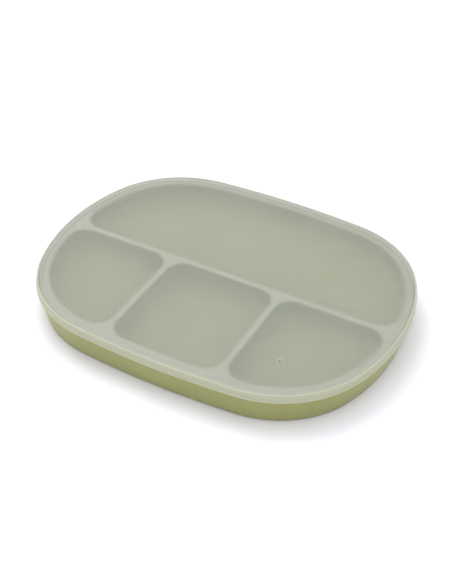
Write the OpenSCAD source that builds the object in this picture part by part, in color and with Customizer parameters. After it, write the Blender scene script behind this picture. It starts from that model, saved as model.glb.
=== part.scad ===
/* [Overall] */
// Length of the closed dish, along X
plate_len = 250; // [235:1:265]
// Width of the closed dish, along Y
plate_wid = 196; // [188:1:204]
// Height from the table to the crest of the lid's bead
total_h = 25.3; // [24:0.1:27]

/* [Tray body] */
// Gap between the table and the base ring while the suction cups are relaxed
base_gap = 0.8; // [0.6:0.1:1.2]
// How far the foot of the slanting side wall stands in from the outline
foot_inset = 4.9; // [3.5:0.1:6]
// Thickness of the base ring under the side wall
ring_t = 3.4; // [2.5:0.1:5]
// Height of the compartment floors above the table
floor_z = 9.4; // [9.2:0.1:11]
// Thickness of the floor
floor_t = 2.4; // [2:0.1:2.4]
// Thickness of the dividers at the rim
divider_t = 3.9; // [3:0.1:6]
// Y position of the long divider
long_divider_y = 0.7; // [-6:0.1:10]
// Distance of the two short dividers from the middle
short_divider_x = 40.2; // [40:0.1:46]
// Distance from the outline to the compartments
rim_w = 9.3; // [8:0.1:11]
// Plan radius of the compartment corners
corner_r = 12.5; // [11:0.5:14]
// Radius between the compartment walls and floors
floor_r = 8.5; // [4:0.5:9]
// Draft angle of the compartment walls
draft = 5; // [2:1:8]
// Rounding of the divider and rim edges
edge_r = 1.1; // [0.6:0.1:1.4]

/* [Lid] */
// Thickness of the lid's flat sheet
sheet_t = 1.2; // [0.8:0.1:1.6]
// Radius of the raised bead around the lid
bead_r = 0.8; // [0.6:0.05:1]
// Height of the lid's skirt, crest of the bead to lower lip
skirt_h = 5.6; // [5:0.1:7]
// Thickness of the lid's skirt
skirt_t = 2.1; // [1.6:0.1:2.4]
// Diameter of the vent hole
vent_d = 2.2; // [1.5:0.1:4]
// X position of the vent hole
vent_x = 68; // [50:1:90]
// Y position of the vent hole
vent_y = -58; // [-66:1:-20]

/* [Suction cups] */
// Diameter of each suction cup's lip
cup_d = 44; // [30:1:50]
// Distance of the cups from the middle along X
cup_x = 66; // [50:1:70]
// Distance of the cups from the middle along Y
cup_y = 46; // [35:1:50]
// Diameter of a cup's neck
neck_d = 6; // [5:0.5:8]
// Diameter of the button on a cup's neck
button_d = 10; // [9:0.5:12]

/* [Hidden] */
$fn = 96;
gap = 0.3;
half_len = plate_len / 2;
half_wid = plate_wid / 2;

// The outline is an oval of tangent arcs: long sides, ends and corners
side_r = 2.32 * plate_len;
end_r = 0.564 * plate_len;
oval_r = 0.288 * plate_len;
side_c = [0, half_wid - side_r];
end_c = [half_len - end_r, 0];
oval_c = arcs_meet(side_c, side_r - oval_r, end_c, end_r - oval_r);
end_a = bearing(end_c, oval_c);
side_a = bearing(side_c, oval_c);

// Heights
lid_lip_z = total_h - skirt_h;
lower_step_z = lid_lip_z + 1.5;
upper_step_z = lid_lip_z + 2.8;
sheet_top_z = total_h - bead_r;
sheet_z = sheet_top_z - sheet_t;
rim_z = sheet_z - gap;
ledge_z = lid_lip_z - gap;
underside_z = floor_z - floor_t;

// Insets from the outline, and the small slants at the edges
side_gap = 0.5;
rim_inset = skirt_t + side_gap;
ledge_inset = 0.7;
step_inset = 0.6;
step_cut = 0.25;
lip_cut = 0.35;
ledge_cut = 0.3;
foot_cut = 0.8;

// How far a flat step of an arc may cut inside it
chord_error = 0.05;

// Suction cups and their sockets
lip_t = 0.8;
wall_t = 1.4;
dome_top_z = 3.8;
boss_z = dome_top_z + base_gap + gap;
collar_t = 0.6;
button_z = boss_z + collar_t + gap;
button_t = 0.8;
socket_top_z = button_z + button_t + base_gap + gap;
button_cut = 1;
boss_d = button_d + 6;
tab_root = 2;
tab_z = 0.3;
tab_len = 7;
tab_w = 9;
tab_t = 1.2;

silicone = [0.55, 0.56, 0.36];
frosted = [0.78, 0.79, 0.70, 0.75];
cup_silicone = [0.86, 0.86, 0.80];

// Direction from p to q, in degrees
function bearing(p, q) = atan2(q[1] - p[1], q[0] - p[0]);

// The point at distance rp from p and rq from q, to the right of the line from p to q
function arcs_meet(p, rp, q, rq) =
    let (d = norm(q - p))
    let (u = (q - p) / d)
    let (along = (rp * rp - rq * rq + d * d) / (2 * d))
    let (across = sqrt(rp * rp - along * along))
    p + along * u + across * [u[1], -u[0]];

function on_arc(arc, angle, inset) = arc[0] + (arc[1] - inset) * [cos(angle), sin(angle)];

// An outline is a list of arcs [centre, radius, from, to], anticlockwise, with straight lines between them
function oval() = [
    [end_c, end_r, -end_a, end_a],
    [oval_c, oval_r, end_a, side_a],
    [side_c, side_r, side_a, 180 - side_a],
    [flip_x(oval_c), oval_r, 180 - side_a, 180 - end_a],
    [flip_x(end_c), end_r, 180 - end_a, 180 + end_a],
    [-oval_c, oval_r, 180 + end_a, 180 + side_a],
    [-side_c, side_r, 180 + side_a, 360 - side_a],
    [flip_y(oval_c), oval_r, 360 - side_a, 360 - end_a]
];

function flip_x(p) = [-p[0], p[1]];

function flip_y(p) = [p[0], -p[1]];

// The centre of a compartment corner that touches an arc from inside, from its x or its y
function centre_y(arc_c, arc_r, x) = arc_c[1] - sqrt(pow(arc_r - corner_r, 2) - pow(x - arc_c[0], 2));

function centre_x(arc_c, arc_r, y) = arc_c[0] + sqrt(pow(arc_r - corner_r, 2) - pow(y - arc_c[1], 2));

// The long compartment behind the long divider
function back_outline() =
    let (y0 = long_divider_y + divider_t / 2 + corner_r)
    let (c = [centre_x(end_c, end_r - rim_w, y0), y0])
    let (a = bearing(end_c, c))
    [
        [c, corner_r, -90, a],
        [end_c, end_r - rim_w, a, end_a],
        [oval_c, oval_r - rim_w, end_a, side_a],
        [side_c, side_r - rim_w, side_a, 180 - side_a],
        [flip_x(oval_c), oval_r - rim_w, 180 - side_a, 180 - end_a],
        [flip_x(end_c), end_r - rim_w, 180 - end_a, 180 - a],
        [flip_x(c), corner_r, 180 - a, 270]
    ];

// The front right compartment; the front left one is its mirror image
function side_outline() =
    let (x0 = short_divider_x + divider_t / 2 + corner_r)
    let (y0 = long_divider_y - divider_t / 2 - corner_r)
    let (low_c = flip_y(oval_c))
    let (low = [x0, centre_y(low_c, oval_r - rim_w, x0)])
    let (high = [centre_x(end_c, end_r - rim_w, y0), y0])
    [
        [[x0, y0], corner_r, 90, 180],
        [low, corner_r, 180, 360 + bearing(low_c, low)],
        [low_c, oval_r - rim_w, 360 + bearing(low_c, low), 360 - end_a],
        [end_c, end_r - rim_w, 360 - end_a, 360 + bearing(end_c, high)],
        [high, corner_r, 360 + bearing(end_c, high), 450]
    ];

// The middle compartment at the front
function middle_outline() =
    let (x0 = short_divider_x - divider_t / 2 - corner_r)
    let (y0 = long_divider_y - divider_t / 2 - corner_r)
    let (low = [x0, centre_y(-side_c, side_r - rim_w, x0)])
    let (a = 360 + bearing(-side_c, low))
    [
        [[x0, y0], corner_r, 0, 90],
        [[-x0, y0], corner_r, 90, 180],
        [flip_x(low), corner_r, 180, 540 - a],
        [-side_c, side_r - rim_w, 540 - a, a],
        [low, corner_r, a, 360]
    ];

// Number of flat steps an arc is drawn in, from how far a step may cut inside it
function arc_steps(arc) = ceil((arc[3] - arc[2]) * PI / 180 * arc[1] / sqrt(8 * arc[1] * chord_error));

// Points along an outline at an inset and a height; arcs that touch share their end point
function ring(outline, inset, z) = [
    for (i = [0 : len(outline) - 1])
        let (arc = outline[i])
        let (next = outline[(i + 1) % len(outline)])
        let (apart = norm(on_arc(arc, arc[3], 0) - on_arc(next, next[2], 0)) > 0.01)
        let (steps = arc_steps(arc))
        for (s = [0 : steps - (apart ? 0 : 1)])
            let (p = on_arc(arc, arc[2] + (arc[3] - arc[2]) * s / steps, inset))
            [p[0], p[1], z]
];

// A solid whose surface follows a profile of [inset, height] points around an outline, top face first
module skin(outline, profile) {
    rings = [for (p = profile) ring(outline, p[0], p[1])];
    n = len(rings[0]);
    last = len(rings) - 1;
    polyhedron(
        points = [for (r = rings) for (p = r) p],
        faces = [
            [for (i = [n - 1 : -1 : 0]) i],
            for (k = [0 : last - 1])
                for (i = [0 : n - 1])
                    let (j = (i + 1) % n)
                    [k * n + i, k * n + j, (k + 1) * n + j, (k + 1) * n + i],
            [for (i = [0 : n - 1]) last * n + i]
        ],
        convexity = 6
    );
}

// Points of a rounding in a profile
function rounding(c, r, from, to, steps) = [
    for (s = [0 : steps])
        let (a = from + (to - from) * s / steps)
        c + r * [cos(a), sin(a)]
];

// Rim, ledge, side wall, base ring and underside of the tray
function tray_profile() = [
    each rounding([rim_inset + edge_r, rim_z - edge_r], edge_r, 90, 180, 3),
    [rim_inset, ledge_z],
    [ledge_inset + ledge_cut, ledge_z],
    [ledge_inset, ledge_z - foot_cut],
    [foot_inset, base_gap + foot_cut],
    [foot_inset + foot_cut, base_gap],
    [foot_inset + ring_t, base_gap],
    [foot_inset + ring_t, underside_z]
];

// Hollow of a compartment: rounded lip, drafted wall and rounded floor
function compartment_profile() =
    let (lip_z = rim_z - edge_r)
    let (down = (lip_z - floor_z - floor_r + floor_r * sin(draft)) / cos(draft))
    let (c = [down * sin(draft), lip_z - down * cos(draft)] + floor_r * [cos(draft), sin(draft)])
    [
        [-edge_r, rim_z + gap],
        each rounding([-edge_r, lip_z], edge_r, 90, 0, 3),
        each rounding(c, floor_r, 180 + draft, 270, 5)
    ];

module compartment(outline) {
    skin(outline, compartment_profile());
}

// Undercut hole that a suction cup's button snaps into
module socket() {
    translate([0, 0, boss_z - gap])
        cylinder(h = gap + collar_t + gap, d = neck_d + 2 * gap);
    translate([0, 0, boss_z + collar_t])
        cylinder(h = socket_top_z - boss_z - collar_t, d = button_d + 2 * gap);
}

module at_cups() {
    for (x = [-cup_x, cup_x])
        for (y = [-cup_y, cup_y])
            translate([x, y, 0])
                children();
}

module tray_body() {
    color(silicone)
        difference() {
            union() {
                skin(oval(), tray_profile());
                at_cups()
                    translate([0, 0, boss_z])
                        cylinder(h = underside_z - boss_z + floor_t / 2, d = boss_d);
            }
            compartment(back_outline());
            compartment(middle_outline());
            compartment(side_outline());
            mirror([1, 0, 0])
                compartment(side_outline());
            at_cups()
                socket();
        }
}

// Raised bead, stepped skirt, lower lip and inside of the lid
function lid_profile() = [
    each rounding([step_inset + bead_r, sheet_top_z], bead_r, 0, 180, 8),
    [step_inset, upper_step_z],
    [step_inset / 2, upper_step_z - step_cut],
    [step_inset / 2, lower_step_z],
    [0, lower_step_z - step_cut],
    [0, lid_lip_z + lip_cut],
    [lip_cut, lid_lip_z],
    [skirt_t, lid_lip_z],
    [skirt_t, sheet_z]
];

module lid() {
    color(frosted)
        difference() {
            skin(oval(), lid_profile());
            translate([vent_x, vent_y, sheet_z - gap])
                cylinder(h = sheet_t + 2 * gap, d = vent_d);
        }
}

// Height of the cup's underside and top at a share of its radius
function cup_under(t) = (dome_top_z - wall_t) * (1 - t * t);

function cup_top(t) = lip_t + (dome_top_z - lip_t) * (1 - t * t);

// Pull tab with a finger hole, from its root in the cup's lip to its round end
module tab_outline() {
    straight = tab_root + tab_len - tab_w / 2;
    difference() {
        union() {
            translate([0, -tab_w / 2])
                square([straight, tab_w]);
            translate([straight, 0])
                circle(d = tab_w);
        }
        translate([straight, 0])
            circle(d = tab_w / 3);
    }
}

module suction_cup() {
    cup_r = cup_d / 2;
    steps = 6;
    color(cup_silicone) {
        rotate_extrude()
            polygon([
                for (i = [0 : steps])
                    let (t = i / steps)
                    [t * (cup_r - lip_t), cup_under(t)],
                [cup_r, 0],
                for (i = [steps : -1 : 1])
                    let (t = i / steps)
                    [t * cup_r, cup_top(t)],
                [neck_d / 2, dome_top_z],
                [neck_d / 2, button_z],
                [button_d / 2, button_z],
                [button_d / 2, button_z + button_t / 2],
                [button_d / 2 - button_cut, button_z + button_t],
                [0, button_z + button_t]
            ]);
        translate([cup_r - tab_root, 0, tab_z])
            linear_extrude(tab_t)
                tab_outline();
    }
}

module suction_cup_front_left() {
    translate([-cup_x, -cup_y, 0])
        mirror([1, 0, 0])
            suction_cup();
}

module suction_cup_front_right() {
    translate([cup_x, -cup_y, 0])
        suction_cup();
}

module suction_cup_back_left() {
    translate([-cup_x, cup_y, 0])
        mirror([1, 0, 0])
            suction_cup();
}

module suction_cup_back_right() {
    translate([cup_x, cup_y, 0])
        suction_cup();
}

tray_body();
lid();
suction_cup_front_left();
suction_cup_front_right();
suction_cup_back_left();
suction_cup_back_right();
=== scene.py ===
import math

import bmesh
import bpy
from mathutils import Matrix, Vector
from mathutils.geometry import delaunay_2d_cdt


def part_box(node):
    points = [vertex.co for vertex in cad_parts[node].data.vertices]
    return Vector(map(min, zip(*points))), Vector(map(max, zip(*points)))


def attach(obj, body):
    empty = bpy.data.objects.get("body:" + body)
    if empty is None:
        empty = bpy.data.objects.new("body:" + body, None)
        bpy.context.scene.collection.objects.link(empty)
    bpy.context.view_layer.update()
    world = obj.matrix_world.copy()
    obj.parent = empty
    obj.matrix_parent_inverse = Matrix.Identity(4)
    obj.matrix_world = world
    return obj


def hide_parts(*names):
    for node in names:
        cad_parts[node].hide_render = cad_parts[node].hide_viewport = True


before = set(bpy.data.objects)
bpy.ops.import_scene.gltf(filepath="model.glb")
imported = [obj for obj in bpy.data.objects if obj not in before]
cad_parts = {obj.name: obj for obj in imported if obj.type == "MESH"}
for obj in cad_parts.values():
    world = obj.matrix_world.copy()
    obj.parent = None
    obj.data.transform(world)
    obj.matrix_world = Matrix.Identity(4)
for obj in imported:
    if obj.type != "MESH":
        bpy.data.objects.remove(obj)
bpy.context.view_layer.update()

MM = 0.001


def size_of(node):
    """Lowest and highest corners of a CAD node, in millimetres."""
    low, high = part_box(node)
    return [metres / MM for metres in low], [metres / MM for metres in high]


LID_LOW, LID_HIGH = size_of("lid")
TRAY_LOW, TRAY_HIGH = size_of("tray_body")

# Outline of the closed dish
HALF_LEN = (LID_HIGH[0] - LID_LOW[0]) / 2
HALF_WID = (LID_HIGH[1] - LID_LOW[1]) / 2
SIDE_R = 2.32 * 2 * HALF_LEN
END_R = 0.564 * 2 * HALF_LEN
OVAL_R = 0.288 * 2 * HALF_LEN

# Clearance between neighbouring pieces
GAP = 0.3

# Heights
TOP_Z = LID_HIGH[2]
LIP_Z = LID_LOW[2]
BEAD_R = 0.8
SHEET_T = 1.2
SHEET_TOP_Z = TOP_Z - BEAD_R
SHEET_Z = SHEET_TOP_Z - SHEET_T
RIM_Z = TRAY_HIGH[2]
BASE_Z = TRAY_LOW[2]
LEDGE_Z = LIP_Z - GAP
FLOOR_Z = 9.4
UNDER_Z = 7.0

# Tray section: insets, widths and edge radii, then the wall's lean in degrees
FOOT_INSET = 4.9
FOOT_R = 0.9
RING_T = 3.4
RING_EDGE_R = 0.4
UNDER_FILLET = 1.5
RIM_W = 8.0
FRONT_RIM_W = 10.5
RIM_INSET = 2.6
RIM_FILLET = 0.3
LEDGE_INSET = 0.7
LEDGE_EDGE_R = 0.4
EDGE_R = 1.1
WALL_LEAN = 14

# Compartments
FLOOR_R = 8.5
CORNER_R = 12.5
DRAFT = 5.0
DIVIDER_T = 3.9
LONG_DIVIDER_Y = 0.7
SHORT_DIVIDER_X = 40.2

# Lid section: each step of the skirt is a slope from its lower to its upper height above the lip
SKIRT_T = 2.1
SKIRT_FILLET = 0.5
LIP_R = 0.35
LIP_INNER_R = 0.25
STEP_INSET = 0.6
LOWER_STEP = (1.35, 1.8)
UPPER_STEP = (2.55, 3.0)
GROOVE_R = 0.5
SHEET_INSETS = (3.2, 3.8, 4.4, 5, 6, 7)
VENT_R = 1.1
VENT = (68.0, -58.0)
VENT_TOP_R = 0.25
VENT_LOW_R = 0.2
VENT_COLLAR = 0.6

# Frosted silicone: cloudiest where it is thick, with a painted highlight on the bead's crest and painted
# shade in the groove; less so on the rims, where the haze is painted light standing in for the lit rims and
# dividers under it; clearest over the compartments
EDGE_CLOUD = 1.0
# painted light: the lid is milkier and lighter over the rims and dividers, standing in for the lit lands
# seen through it
PAINTED_LAND_LIGHT = 0.7
# painted shade: the groove inside the bead is less milky than the bead, where the silicone is thinner, and
# shows as a darker line standing in for the groove's shade
GROOVE_CLOUD_AND_SHADE = 0.32
HAZE_LOW = (0.56, 0.58, 0.595)
HAZE_HIGH = (0.59, 0.61, 0.625)
HAZE_GLOW = (0.85, 0.875, 0.91)
EDGE_HAZE = (0.598, 0.61, 0.445)
EDGE_GLOW = (0.72, 0.72, 0.58)
GLOW_SHARE = 0.5
EDGE_GLOW_SHARE = 0.2
CLEAR_SHARE = 0.64
EDGE_CLEAR_SHARE = 0.12

# Insets between which the cloud changes: off the bead and its painted highlight, on to the rim's painted
# light, along the sheet past the groove's painted shade, off a rim's edge
# painted highlight: the bead stays fully milky only out to its crest, which narrows its bright line along
# the crest
BEAD_AND_HIGHLIGHT_FADE = (1.3, 2.1)
RIM_FADE = (2.6, 4.6)
SHEET_FADE = (3.0, 5.0)
LAND_LIGHT_FADE = 1.3

# Suction cups and their sockets
CUP_X = 66.0
CUP_Y = 46.0
CUP_R = 22.0
DOME_TOP_Z = 3.8
LIP_T = 0.8
DOME_T = 1.4
DOME_STEPS = 14
CROWN_R = 0.3
CROWN_RISE = 0.02
NECK_R = 3.0
NECK_FLARE = 1.4
BUTTON_R = 5.0
BUTTON_Z = 5.8
BUTTON_T = 0.8
BUTTON_CUT = 0.2
BUTTON_EDGE_R = 0.35
TAB_ROOT = 2.0
TAB_LEN = 7.0
TAB_W = 9.0
TAB_Z = 0.3
TAB_T = 1.2
TAB_EDGE_R = 0.3
TAB_CORNER_R = 0.5
TAB_END_C = (CUP_R + TAB_LEN - TAB_W / 2, 0.0)
TAB_HOLE_R = TAB_W / 6
BOSS_R = 8.0
BOSS_FILLET = 0.8
BOSS_EDGE_R = 0.5
MOUTH_EDGE_R = 0.2
BOSS_Z = 4.9
COLLAR_T = 0.6
SOCKET_TOP_Z = 7.7

# Noise scales, in cells per metre: colour, gloss and the mould's fine grain
SILICONE_NOISE = (35, 160, 2600)
FROSTED_NOISE = (25, 120, 2200)
SILICONE_IOR = 1.41

# Studio, in metres, degrees and watts
FLOOR_HALF = 4.0
FLOOR_COLOUR = (0.925, 0.905, 0.955)
HORIZON = 0.4
ZENITH = 1.5
SKY_COLOUR = (0.96, 0.98, 1.0)
KEY_AT = (-0.75, 0.4, 1.35)
KEY_SIZE = 1.0
KEY_WATTS = 10
AZIMUTH = 27.55
ELEVATION = 39.08
ROLL = 1.45
DISTANCE = 0.7797
AIM = (-0.0056, 0.0104, 0)
LENS = 70.2
SENSOR = 36


# ---------------------------------------------------------------- outlines


def bearing(p, q):
    """Direction from p to q, in degrees."""
    return math.degrees(math.atan2(q[1] - p[1], q[0] - p[0]))


def arcs_meet(p, rp, q, rq):
    """The point at distance rp from p and rq from q, to the right of the line from p to q."""
    dx, dy = q[0] - p[0], q[1] - p[1]
    d = math.hypot(dx, dy)
    ux, uy = dx / d, dy / d
    along = (rp * rp - rq * rq + d * d) / (2 * d)
    across = math.sqrt(rp * rp - along * along)
    return (p[0] + along * ux + across * uy, p[1] + along * uy - across * ux)


def flip_x(p):
    return (-p[0], p[1])


def flip_y(p):
    return (p[0], -p[1])


SIDE_C = (0.0, HALF_WID - SIDE_R)
END_C = (HALF_LEN - END_R, 0.0)
OVAL_C = arcs_meet(SIDE_C, SIDE_R - OVAL_R, END_C, END_R - OVAL_R)
END_A = bearing(END_C, OVAL_C)
SIDE_A = bearing(SIDE_C, OVAL_C)

# The compartments' arcs; the corner arcs at the front sit deeper than the outline's
HOLLOW_END_R = END_R - RIM_W
HOLLOW_OVAL_R = OVAL_R - RIM_W
BACK_R = SIDE_R - RIM_W
FRONT_R = SIDE_R - FRONT_RIM_W
FRONT_C = flip_y(SIDE_C)
FRONT_OVAL_C = flip_y(
    arcs_meet(SIDE_C, FRONT_R - HOLLOW_OVAL_R, END_C, HOLLOW_END_R - HOLLOW_OVAL_R)
)

# Centres of the compartments' corner arcs beside the dividers
BACK_CORNER_Y = LONG_DIVIDER_Y + DIVIDER_T / 2 + CORNER_R
FRONT_CORNER_Y = LONG_DIVIDER_Y - DIVIDER_T / 2 - CORNER_R
SIDE_CORNER_X = SHORT_DIVIDER_X + DIVIDER_T / 2 + CORNER_R
MIDDLE_CORNER_X = SHORT_DIVIDER_X - DIVIDER_T / 2 - CORNER_R


def oval():
    """The dish's outline: tangent arcs (centre, radius, from, to), anticlockwise, in degrees."""
    return [
        (END_C, END_R, -END_A, END_A),
        (OVAL_C, OVAL_R, END_A, SIDE_A),
        (SIDE_C, SIDE_R, SIDE_A, 180 - SIDE_A),
        (flip_x(OVAL_C), OVAL_R, 180 - SIDE_A, 180 - END_A),
        (flip_x(END_C), END_R, 180 - END_A, 180 + END_A),
        (flip_y(flip_x(OVAL_C)), OVAL_R, 180 + END_A, 180 + SIDE_A),
        (flip_y(SIDE_C), SIDE_R, 180 + SIDE_A, 360 - SIDE_A),
        (flip_y(OVAL_C), OVAL_R, 360 - SIDE_A, 360 - END_A),
    ]


def corner_y(arc_c, arc_r, x):
    """Y of the centre of a corner that touches an arc from inside."""
    return arc_c[1] - math.sqrt((arc_r - CORNER_R) ** 2 - (x - arc_c[0]) ** 2)


def corner_x(arc_c, arc_r, y):
    """X of the centre of a corner that touches an arc from inside."""
    return arc_c[0] + math.sqrt((arc_r - CORNER_R) ** 2 - (y - arc_c[1]) ** 2)


def back_outline():
    """The long compartment behind the long divider."""
    corner = (corner_x(END_C, HOLLOW_END_R, BACK_CORNER_Y), BACK_CORNER_Y)
    end = bearing(END_C, corner)
    return [
        (corner, CORNER_R, -90, end),
        (END_C, HOLLOW_END_R, end, END_A),
        (OVAL_C, HOLLOW_OVAL_R, END_A, SIDE_A),
        (SIDE_C, BACK_R, SIDE_A, 180 - SIDE_A),
        (flip_x(OVAL_C), HOLLOW_OVAL_R, 180 - SIDE_A, 180 - END_A),
        (flip_x(END_C), HOLLOW_END_R, 180 - END_A, 180 - end),
        (flip_x(corner), CORNER_R, 180 - end, 270),
    ]


def right_outline():
    """The compartment at the front right; the left one is its mirror image."""
    low = (SIDE_CORNER_X, corner_y(FRONT_OVAL_C, HOLLOW_OVAL_R, SIDE_CORNER_X))
    high = (corner_x(END_C, HOLLOW_END_R, FRONT_CORNER_Y), FRONT_CORNER_Y)
    low_a = 360 + bearing(FRONT_OVAL_C, low)
    meet_a = 360 + bearing(END_C, FRONT_OVAL_C)
    high_a = 360 + bearing(END_C, high)
    return [
        ((SIDE_CORNER_X, FRONT_CORNER_Y), CORNER_R, 90, 180),
        (low, CORNER_R, 180, low_a),
        (FRONT_OVAL_C, HOLLOW_OVAL_R, low_a, meet_a),
        (END_C, HOLLOW_END_R, meet_a, high_a),
        (high, CORNER_R, high_a, 450),
    ]


def mirrored(outline):
    return [(flip_x(c), r, 180 - to, 180 - start) for c, r, start, to in reversed(outline)]


def middle_outline():
    """The compartment at the front middle."""
    low = (MIDDLE_CORNER_X, corner_y(FRONT_C, FRONT_R, MIDDLE_CORNER_X))
    low_a = 360 + bearing(FRONT_C, low)
    return [
        ((MIDDLE_CORNER_X, FRONT_CORNER_Y), CORNER_R, 0, 90),
        ((-MIDDLE_CORNER_X, FRONT_CORNER_Y), CORNER_R, 90, 180),
        (flip_x(low), CORNER_R, 180, 540 - low_a),
        (FRONT_C, FRONT_R, 540 - low_a, low_a),
        (low, CORNER_R, low_a, 360),
    ]


def compartments():
    return [back_outline(), mirrored(right_outline()), middle_outline(), right_outline()]


def circle(centre, radius):
    return [(centre, radius, 0, 360)]


def tab_outline():
    """A cup's pull tab, from its root inside the cup's lip to its round end."""
    root = (CUP_R - TAB_ROOT + TAB_CORNER_R, TAB_W / 2 - TAB_CORNER_R)
    return [
        (TAB_END_C, TAB_W / 2, -90, 90),
        (root, TAB_CORNER_R, 90, 180),
        (flip_y(root), TAB_CORNER_R, 180, 270),
    ]


def shifted(outline, x, y):
    return [((c[0] + x, c[1] + y), r, start, to) for c, r, start, to in outline]


def on_arc(arc, angle, inset):
    (x, y), radius, _, _ = arc
    turn = math.radians(angle)
    return (x + (radius - inset) * math.cos(turn), y + (radius - inset) * math.sin(turn))


def ring(outline, inset, step):
    """Points along an outline at an inset, about a step apart, the same number at every inset."""
    points = []
    for i, arc in enumerate(outline):
        after = outline[(i + 1) % len(outline)]
        turn = arc[3] - arc[2]
        count = max(3, round(math.radians(turn) * arc[1] / step), round(turn / 6))
        points += [on_arc(arc, arc[2] + turn * s / count, inset) for s in range(count)]
        apart = math.dist(on_arc(arc, arc[3], 0), on_arc(after, after[2], 0))
        if apart > 0.01:
            start, end = on_arc(arc, arc[3], inset), on_arc(after, after[2], inset)
            count = max(2, round(apart / (2 * step)))
            for s in range(count):
                t = s / count
                points.append(
                    (start[0] + (end[0] - start[0]) * t, start[1] + (end[1] - start[1]) * t)
                )
    return points


def rounding(centre, r, start, end, steps):
    """Profile points on an arc, as inset and height."""
    turns = [math.radians(start + (end - start) * s / steps) for s in range(steps + 1)]
    return [(centre[0] + r * math.cos(turn), centre[1] + r * math.sin(turn)) for turn in turns]


# ---------------------------------------------------------------- mesh building


class Shell:
    """Collects bands and flat fills, and welds them into one mesh; a point's cloud is how milky it is, and
    on the lid it also carries painted light and shade.
    """

    def __init__(self):
        self.verts = []
        self.faces = []
        self.clouds_and_painted_light = []

    def add(self, points, cloud_and_painted_light):
        first = len(self.verts)
        self.verts += points
        self.clouds_and_painted_light += [cloud_and_painted_light] * len(points)
        return list(range(first, first + len(points)))

    def band(self, outline, profile, step, cloud_and_painted_light=lambda inset, z: 0.0):
        """A surface that follows a profile around an outline; returns its first and last rings."""
        rings = []
        for inset, z in profile:
            points = [(x, y, z) for x, y in ring(outline, inset, step)]
            rings.append(self.add(points, cloud_and_painted_light(inset, z)))
        for low, high in zip(rings, rings[1:]):
            for i in range(len(low)):
                j = (i + 1) % len(low)
                self.faces.append((low[i], low[j], high[j], high[i]))
        return rings[0], rings[-1]

    def fill(self, outer, holes=(), spacing=4.0, cloud_and_painted_light=0.0):
        """A flat face inside a ring, less its holes, with a grid of points in it."""
        z = self.verts[outer[0]][2]
        loops = [outer, *holes]
        rims = [[Vector(self.verts[i][:2]) for i in loop] for loop in loops]
        border = [i for loop in loops for i in loop]
        flat = [point for rim in rims for point in rim]
        edges, first = [], 0
        for loop in loops:
            n = len(loop)
            edges += [(first + i, first + (i + 1) % n) for i in range(n)]
            first += n
        flat += grid(rims, flat, spacing)
        made, _, tris, origin, _, _ = delaunay_2d_cdt(flat, edges, [], 0, 1e-5)
        ids = []
        for point, sources in zip(made, origin):
            if sources and sources[0] < len(border):
                ids.append(border[sources[0]])
            else:
                ids.append(self.add([(point.x, point.y, z)], cloud_and_painted_light)[0])
        for tri in tris:
            middle = sum((made[i] for i in tri), Vector((0, 0))) / 3
            if inside(middle, rims):
                self.faces.append(tuple(ids[i] for i in tri))

    def build(self, name, material, sharp=30):
        """The welded piece; edges that turn by more than sharp degrees stay crisp."""
        mesh = bpy.data.meshes.new(name)
        mesh.from_pydata([(x * MM, y * MM, z * MM) for x, y, z in self.verts], [], self.faces)
        if any(self.clouds_and_painted_light):
            mesh.attributes.new("cloud_and_painted_light", "FLOAT", "POINT").data.foreach_set("value", self.clouds_and_painted_light)
        bm = bmesh.new()
        bm.from_mesh(mesh)
        bmesh.ops.remove_doubles(bm, verts=bm.verts, dist=1e-6)
        bmesh.ops.recalc_face_normals(bm, faces=bm.faces)
        for face in bm.faces:
            face.smooth = True
        for edge in bm.edges:
            edge.smooth = edge.is_manifold and edge.calc_face_angle(0) < math.radians(sharp)
        bm.to_mesh(mesh)
        bm.free()
        piece = bpy.data.objects.new(name, mesh)
        bpy.context.scene.collection.objects.link(piece)
        mesh.materials.append(material)
        return piece


def grid(rims, border, spacing):
    """Evenly spaced points inside the first rim and outside the others, clear of the border."""
    low = [min(p[k] for p in rims[0]) for k in (0, 1)]
    high = [max(p[k] for p in rims[0]) for k in (0, 1)]
    nx, ny = (max(1, math.ceil((high[k] - low[k]) / spacing)) for k in (0, 1))
    points = []
    for i in range(1, nx):
        for j in range(1, ny):
            p = Vector((low[0] + (high[0] - low[0]) * i / nx, low[1] + (high[1] - low[1]) * j / ny))
            if inside(p, rims) and clear(p, border, spacing * 0.45):
                points.append(p)
    return points


def inside(p, rims):
    """True in the first rim and outside the others."""
    return contains(rims[0], p) and not any(contains(hole, p) for hole in rims[1:])


def contains(loop, p):
    """True if a line from p crosses the loop an odd number of times."""
    odd = False
    for a, b in zip(loop, loop[1:] + loop[:1]):
        if (a.y > p.y) != (b.y > p.y) and p.x < a.x + (p.y - a.y) * (b.x - a.x) / (b.y - a.y):
            odd = not odd
    return odd


def clear(p, points, gap):
    return all(abs(p.x - q.x) > gap or abs(p.y - q.y) > gap for q in points)


# ---------------------------------------------------------------- pieces


def compartment_profile():
    """From a compartment's rounded rim, down its slanting wall, to its floor."""
    draft = math.radians(DRAFT)
    lip = RIM_Z - EDGE_R
    down = (lip - FLOOR_Z - FLOOR_R + FLOOR_R * math.sin(draft)) / math.cos(draft)
    centre = (
        down * math.sin(draft) + FLOOR_R * math.cos(draft),
        lip - down * math.cos(draft) + FLOOR_R * math.sin(draft),
    )
    return [
        *rounding((-EDGE_R, lip), EDGE_R, 90, 0, 7),
        *rounding(centre, FLOOR_R, 180 + DRAFT, 270, 14),
    ]


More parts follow.
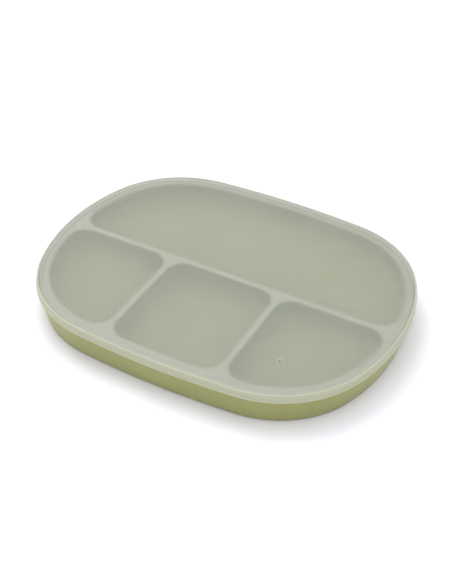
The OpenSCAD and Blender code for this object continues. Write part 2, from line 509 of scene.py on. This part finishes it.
def tray_profile():
    """From the rim, over the ledge, down the leaning wall and round the base ring, to the underside."""
    lean = 180 + WALL_LEAN
    ring_in = FOOT_INSET + RING_T
    return [
        *rounding((RIM_INSET + EDGE_R, RIM_Z - EDGE_R), EDGE_R, 90, 180, 6),
        *rounding((RIM_INSET - RIM_FILLET, LEDGE_Z + RIM_FILLET), RIM_FILLET, 0, -90, 3),
        *rounding((LEDGE_INSET + LEDGE_EDGE_R, LEDGE_Z - LEDGE_EDGE_R), LEDGE_EDGE_R, 90, lean, 5),
        *rounding((FOOT_INSET + FOOT_R, BASE_Z + FOOT_R), FOOT_R, lean, 270, 6),
        *rounding((ring_in - RING_EDGE_R, BASE_Z + RING_EDGE_R), RING_EDGE_R, 270, 360, 4),
        *rounding((ring_in + UNDER_FILLET, UNDER_Z - UNDER_FILLET), UNDER_FILLET, 180, 90, 6),
    ]


def socket_profile():
    """From the underside, down a boss and up into the socket that holds a cup's button."""
    mouth = BOSS_R - NECK_R - GAP
    wide = BOSS_R - BUTTON_R - GAP
    return [
        *rounding((-BOSS_FILLET, UNDER_Z - BOSS_FILLET), BOSS_FILLET, 90, 0, 4),
        *rounding((BOSS_EDGE_R, BOSS_Z + BOSS_EDGE_R), BOSS_EDGE_R, 180, 270, 4),
        *rounding((mouth - MOUTH_EDGE_R, BOSS_Z + MOUTH_EDGE_R), MOUTH_EDGE_R, 270, 360, 3),
        (mouth, BOSS_Z + COLLAR_T),
        (wide, BOSS_Z + COLLAR_T),
        (wide, SOCKET_TOP_Z),
    ]


def cups_at():
    return {
        "front_left": (-CUP_X, -CUP_Y),
        "front_right": (CUP_X, -CUP_Y),
        "back_left": (-CUP_X, CUP_Y),
        "back_right": (CUP_X, CUP_Y),
    }


def make_tray(material):
    shell = Shell()
    rim, under = shell.band(oval(), tray_profile(), 1.5)
    holes = []
    for outline in compartments():
        lip, floor = shell.band(outline, compartment_profile(), 1.2)
        shell.fill(floor, spacing=6)
        holes.append(lip)
    shell.fill(rim, holes, spacing=5)
    bosses = []
    for at in cups_at().values():
        outside, top = shell.band(circle(at, BOSS_R), socket_profile(), 0.8)
        shell.fill(top, spacing=2)
        bosses.append(outside)
    shell.fill(under, bosses, spacing=6)
    return shell.build("tray", material)


def lid_profile():
    """From the sheet's top, over the bead, down the stepped skirt and up inside to its underside."""
    bead = STEP_INSET + BEAD_R
    lip_in = SKIRT_T - LIP_INNER_R
    return [
        *((inset, SHEET_TOP_Z) for inset in reversed(SHEET_INSETS)),
        *rounding((bead + BEAD_R + GROOVE_R, SHEET_TOP_Z + GROOVE_R), GROOVE_R, 270, 205, 4),
        *rounding((bead, SHEET_TOP_Z), BEAD_R, 25, 180, 12),
        (STEP_INSET, LIP_Z + UPPER_STEP[1]),
        (STEP_INSET / 2, LIP_Z + UPPER_STEP[0]),
        (STEP_INSET / 2, LIP_Z + LOWER_STEP[1]),
        (0, LIP_Z + LOWER_STEP[0]),
        *rounding((LIP_R, LIP_Z + LIP_R), LIP_R, 180, 270, 4),
        *rounding((lip_in, LIP_Z + LIP_INNER_R), LIP_INNER_R, 270, 360, 3),
        *rounding((SKIRT_T + SKIRT_FILLET, SHEET_Z - SKIRT_FILLET), SKIRT_FILLET, 180, 90, 4),
        *((inset, SHEET_Z) for inset in SHEET_INSETS),
    ]


def vent_profile():
    """From the sheet's top, down through the vent, to its underside."""
    return [
        (-VENT_COLLAR, SHEET_TOP_Z),
        *rounding((-VENT_TOP_R, SHEET_TOP_Z - VENT_TOP_R), VENT_TOP_R, 90, 0, 4),
        *rounding((-VENT_LOW_R, SHEET_Z + VENT_LOW_R), VENT_LOW_R, 0, -90, 3),
        (-VENT_COLLAR, SHEET_Z),
    ]


def fade(value, start, end):
    """1 up to the start, 0 from the end on, smooth in between."""
    t = min(1.0, max(0.0, (value - start) / (end - start)))
    return 1 - t * t * (3 - 2 * t)


def edge_cloud_and_painted_light(inset, z):
    """Thick bead and skirt, with a painted highlight along the bead's crest; a clearer groove inside the
    bead, painted as a darker line of shade; then the underside that rests on the rim, where the lighter
    haze is painted light.
    """
    below = z < SHEET_Z + SHEET_T / 2
    bead = EDGE_CLOUD * fade(inset, *BEAD_AND_HIGHLIGHT_FADE)
    rim = PAINTED_LAND_LIGHT * (1 - fade(inset, *RIM_FADE)) if below else 0.0
    return max(bead, rim, GROOVE_CLOUD_AND_SHADE * fade(inset, *SHEET_FADE))


def painted_land_light(inset, z):
    """Painted light: milkier and lighter where the sheet rests on a rim or a divider, standing in for the
    lit rims and dividers seen through it; clear inside the compartment.
    """
    return PAINTED_LAND_LIGHT * fade(inset, -LAND_LIGHT_FADE, LAND_LIGHT_FADE)


def vent_cloud(inset, z):
    return EDGE_CLOUD if inset > -VENT_COLLAR else 0.0


def make_lid(material):
    shell = Shell()
    top, under = shell.band(oval(), lid_profile(), 1.5, edge_cloud_and_painted_light)
    vent_top, vent_low = shell.band(circle(VENT, VENT_R), vent_profile(), 0.35, vent_cloud)
    shell.fill(top, [vent_top], spacing=4)
    # painted light: the underside's lighter haze over each rim and divider fades to clear across this band
    # at the compartment's edge
    land_light_steps = [(LAND_LIGHT_FADE * k / 2, SHEET_Z) for k in range(-2, 3)]
    over_lands = []
    for outline in compartments():
        land, hollow = shell.band(outline, land_light_steps, 1.5, painted_land_light)
        rim = [Vector(shell.verts[i][:2]) for i in hollow]
        shell.fill(hollow, [vent_low] if contains(rim, Vector(VENT)) else [], spacing=4)
        over_lands.append(land)
    # painted light: the underside between the compartments is made lighter with the lands' haze
    shell.fill(under, over_lands, spacing=3, cloud_and_painted_light=PAINTED_LAND_LIGHT)
    return shell.build("lid_cover", material)


def cup_top_profile():
    """From the lip's underside, up over the dome and the neck, to the top of the button."""
    crown = (NECK_R + NECK_FLARE) / CUP_R
    dome = []
    for i in range(DOME_STEPS - 1, -1, -1):
        t = crown + (1 - crown) * i / DOME_STEPS
        dome.append((CUP_R * (1 - t), LIP_T + (DOME_TOP_Z - LIP_T) * (1 - t * t)))
    button = (CUP_R - BUTTON_R + BUTTON_EDGE_R, BUTTON_Z + BUTTON_T - BUTTON_EDGE_R)
    return [
        *rounding((LIP_T / 2, LIP_T / 2), LIP_T / 2, 270, 110, 5),
        *dome,
        (CUP_R - NECK_R, DOME_TOP_Z),
        (CUP_R - NECK_R, BUTTON_Z),
        (CUP_R - BUTTON_R + BUTTON_CUT, BUTTON_Z),
        *rounding(button, BUTTON_EDGE_R, 180, 90, 4),
    ]


def cup_hollow_profile():
    """The dome's underside, from the lip to near the middle."""
    inner = CUP_R - LIP_T
    shares = [1 - i / DOME_STEPS for i in range(DOME_STEPS)]
    return [(CUP_R - inner * t, (DOME_TOP_Z - DOME_T) * (1 - t * t)) for t in shares]


def add_tab(shell, x, y):
    """The pull tab with its finger hole, on the cup's side that faces the dish's end."""
    tab, hole = tab_outline(), circle(TAB_END_C, TAB_HOLE_R)
    if x < 0:
        tab, hole = mirrored(tab), mirrored(hole)
    slab = [
        *rounding((TAB_EDGE_R, TAB_Z + TAB_EDGE_R), TAB_EDGE_R, 270, 180, 3),
        *rounding((TAB_EDGE_R, TAB_Z + TAB_T - TAB_EDGE_R), TAB_EDGE_R, 180, 90, 3),
    ]
    through = [(-inset, z) for inset, z in slab]
    hole_low, hole_high = shell.band(shifted(hole, x, y), through, 0.6)
    tab_low, tab_high = shell.band(shifted(tab, x, y), slab, 0.6)
    shell.fill(tab_low, [hole_low], spacing=2)
    shell.fill(tab_high, [hole_high], spacing=2)


def make_cup(name, x, y, material):
    shell = Shell()
    outline = circle((x, y), CUP_R)
    top, hollow = cup_top_profile(), cup_hollow_profile()
    _, button = shell.band(outline, top, 1.0)
    shell.fill(button, spacing=2)
    shell.band(outline, [top[0], *hollow], 1.0)
    crown = (CUP_R - CROWN_R, hollow[-1][1] + CROWN_RISE)
    _, middle = shell.band(outline, [hollow[-1], crown], 1.0)
    shell.fill(middle, spacing=1)
    add_tab(shell, x, y)
    return shell.build(name, material)


# ---------------------------------------------------------------- materials


def new_material(name):
    material = bpy.data.materials.new(name)
    material.use_nodes = True
    return material, material.node_tree, material.node_tree.nodes["Principled BSDF"]


def noise(tree, scale, detail=3.0):
    at = tree.nodes.new("ShaderNodeTexCoord")
    node = tree.nodes.new("ShaderNodeTexNoise")
    node.inputs["Scale"].default_value = scale
    node.inputs["Detail"].default_value = detail
    tree.links.new(at.outputs["Object"], node.inputs["Vector"])
    return node.outputs["Fac"]


def ramp(tree, value, low, high, start=0.3, end=0.7):
    """A colour that goes from low to high as the value goes from start to end."""
    node = tree.nodes.new("ShaderNodeValToRGB")
    node.color_ramp.elements[0].position = start
    node.color_ramp.elements[0].color = (*low, 1)
    node.color_ramp.elements[1].position = end
    node.color_ramp.elements[1].color = (*high, 1)
    tree.links.new(value, node.inputs["Fac"])
    return node.outputs["Color"]


def span(tree, value, low, high, start=0.3, end=0.7):
    """A number that goes from low to high as the value goes from start to end."""
    node = tree.nodes.new("ShaderNodeMapRange")
    node.inputs["From Min"].default_value = start
    node.inputs["From Max"].default_value = end
    node.inputs["To Min"].default_value = low
    node.inputs["To Max"].default_value = high
    tree.links.new(value, node.inputs["Value"])
    return node.outputs["Result"]


def bump(tree, shader, value, distance, strength):
    node = tree.nodes.new("ShaderNodeBump")
    node.inputs["Distance"].default_value = distance
    node.inputs["Strength"].default_value = strength
    tree.links.new(value, node.inputs["Height"])
    tree.links.new(node.outputs["Normal"], shader.inputs["Normal"])


def silicone(name, low, high, roughness):
    """Matte moulded silicone: faint clouding of the colour, a dusty sheen and a fine spark-eroded grain."""
    colour_scale, gloss_scale, grain_scale = SILICONE_NOISE
    material, tree, shader = new_material(name)
    tree.links.new(ramp(tree, noise(tree, colour_scale), low, high), shader.inputs["Base Color"])
    gloss = span(tree, noise(tree, gloss_scale), roughness - 0.04, roughness + 0.05)
    tree.links.new(gloss, shader.inputs["Roughness"])
    shader.inputs["IOR"].default_value = SILICONE_IOR
    shader.inputs["Sheen Weight"].default_value = 0.15
    shader.inputs["Sheen Roughness"].default_value = 0.5
    shader.inputs["Subsurface Weight"].default_value = 0.15
    shader.inputs["Subsurface Radius"].default_value = (1.0, 0.9, 0.5)
    shader.inputs["Subsurface Scale"].default_value = 0.002
    bump(tree, shader, noise(tree, grain_scale, 2.0), 0.00004, 0.35)
    return material


def frosted(name):
    """A see-through body clouded by a satin haze that also glows with the light behind it."""
    colour_scale, gloss_scale, grain_scale = FROSTED_NOISE
    material, tree, shader = new_material(name)
    # the cloud attribute sets how milky each point is; on the lid it also carries painted light on the rims
    # and dividers, a painted highlight along the bead's crest and painted shade in the groove
    attribute = tree.nodes.new("ShaderNodeAttribute")
    attribute.attribute_name = "cloud_and_painted_light"
    cloud_and_painted_light = attribute.outputs["Fac"]
    thin_haze = ramp(tree, noise(tree, colour_scale), HAZE_LOW, HAZE_HIGH)
    tree.links.new(blend(tree, cloud_and_painted_light, thin_haze, EDGE_HAZE), shader.inputs["Base Color"])
    tree.links.new(span(tree, noise(tree, gloss_scale), 0.34, 0.42), shader.inputs["Roughness"])
    shader.inputs["IOR"].default_value = SILICONE_IOR
    bump(tree, shader, noise(tree, grain_scale, 2.0), 0.00003, 0.3)
    glow = tree.nodes.new("ShaderNodeBsdfTranslucent")
    tree.links.new(ramp(tree, cloud_and_painted_light, HAZE_GLOW, EDGE_GLOW, 0, 1), glow.inputs["Color"])
    see_through = tree.nodes.new("ShaderNodeBsdfTransparent")
    glow_share = span(tree, cloud_and_painted_light, GLOW_SHARE, EDGE_GLOW_SHARE, 0, 1)
    clear_share = span(tree, cloud_and_painted_light, CLEAR_SHARE, EDGE_CLEAR_SHARE, 0, 1)
    haze = mixed(tree, glow_share, shader.outputs[0], glow.outputs[0])
    whole = mixed(tree, clear_share, haze, see_through.outputs[0])
    tree.links.new(whole, tree.nodes["Material Output"].inputs["Surface"])
    return material


def blend(tree, share, first, second):
    """The first colour fading into a plain second one."""
    node = tree.nodes.new("ShaderNodeMix")
    node.data_type = "RGBA"
    tree.links.new(share, node.inputs["Factor"])
    tree.links.new(first, node.inputs[6])
    node.inputs[7].default_value = (*second, 1)
    return node.outputs[2]


def mixed(tree, share, first, second):
    """The first shader fading into the second."""
    node = tree.nodes.new("ShaderNodeMixShader")
    tree.links.new(share, node.inputs[0])
    tree.links.new(first, node.inputs[1])
    tree.links.new(second, node.inputs[2])
    return node.outputs[0]


def floor_material():
    material, _, shader = new_material("studio_floor")
    shader.inputs["Base Color"].default_value = (*FLOOR_COLOUR, 1)
    shader.inputs["Roughness"].default_value = 0.8
    shader.inputs["Specular IOR Level"].default_value = 0.1
    return material


# ---------------------------------------------------------------- the dish

OLIVE = silicone("olive_silicone", (0.298, 0.302, 0.098), (0.316, 0.32, 0.106), 0.55)
MILKY = silicone("milky_silicone", (0.66, 0.66, 0.56), (0.70, 0.70, 0.60), 0.45)
FROST = frosted("frosted_silicone")

tray = make_tray(OLIVE)
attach(tray, "tray")
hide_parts("tray_body")

lid = make_lid(FROST)
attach(lid, "lid")
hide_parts("lid")

for place, (cup_x, cup_y) in cups_at().items():
    cup = make_cup("cup_" + place, cup_x, cup_y, MILKY)
    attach(cup, "suction_cup_" + place + "_body")
    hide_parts("suction_cup_" + place)


# ---------------------------------------------------------------- studio


def make_floor():
    mesh = bpy.data.meshes.new("studio_floor")
    corners = [(-1, -1), (1, -1), (1, 1), (-1, 1)]
    mesh.from_pydata([(x * FLOOR_HALF, y * FLOOR_HALF, 0) for x, y in corners], [], [(0, 1, 2, 3)])
    mesh.materials.append(floor_material())
    floor = bpy.data.objects.new("studio_floor", mesh)
    bpy.context.scene.collection.objects.link(floor)


def make_key_light():
    """A soft square lamp above the back left, aimed at the dish."""
    data = bpy.data.lights.new("key", "AREA")
    data.shape = "RECTANGLE"
    data.size, data.size_y = KEY_SIZE, KEY_SIZE
    data.energy = KEY_WATTS
    light = bpy.data.objects.new("key", data)
    light.location = KEY_AT
    light.rotation_euler = (-Vector(KEY_AT)).to_track_quat("-Z", "Y").to_euler()
    bpy.context.scene.collection.objects.link(light)


def make_world():
    """Even studio light, brighter overhead than at the horizon."""
    world = bpy.data.worlds.new("studio")
    world.use_nodes = True
    tree = world.node_tree
    at = tree.nodes.new("ShaderNodeTexCoord")
    apart = tree.nodes.new("ShaderNodeSeparateXYZ")
    tree.links.new(at.outputs["Generated"], apart.inputs[0])
    back = tree.nodes["Background"]
    back.inputs["Color"].default_value = (*SKY_COLOUR, 1)
    tree.links.new(span(tree, apart.outputs["Z"], HORIZON, ZENITH, 0, 1), back.inputs["Strength"])
    bpy.context.scene.world = world


def make_camera():
    data = bpy.data.cameras.new("camera")
    data.lens = LENS
    data.sensor_width = SENSOR
    data.clip_start, data.clip_end = 0.01, 50
    camera = bpy.data.objects.new("camera", data)
    az, el = math.radians(AZIMUTH), math.radians(ELEVATION)
    back = Vector((math.sin(az) * math.cos(el), -math.cos(az) * math.cos(el), math.sin(el)))
    turn = back.to_track_quat("Z", "Y").to_matrix().to_4x4()
    roll = Matrix.Rotation(math.radians(ROLL), 4, "Z")
    camera.matrix_world = Matrix.Translation(Vector(AIM) + back * DISTANCE) @ turn @ roll
    bpy.context.scene.collection.objects.link(camera)
    bpy.context.scene.camera = camera


make_floor()
make_world()
make_key_light()
make_camera()
bpy.context.scene.view_settings.view_transform = "Standard"
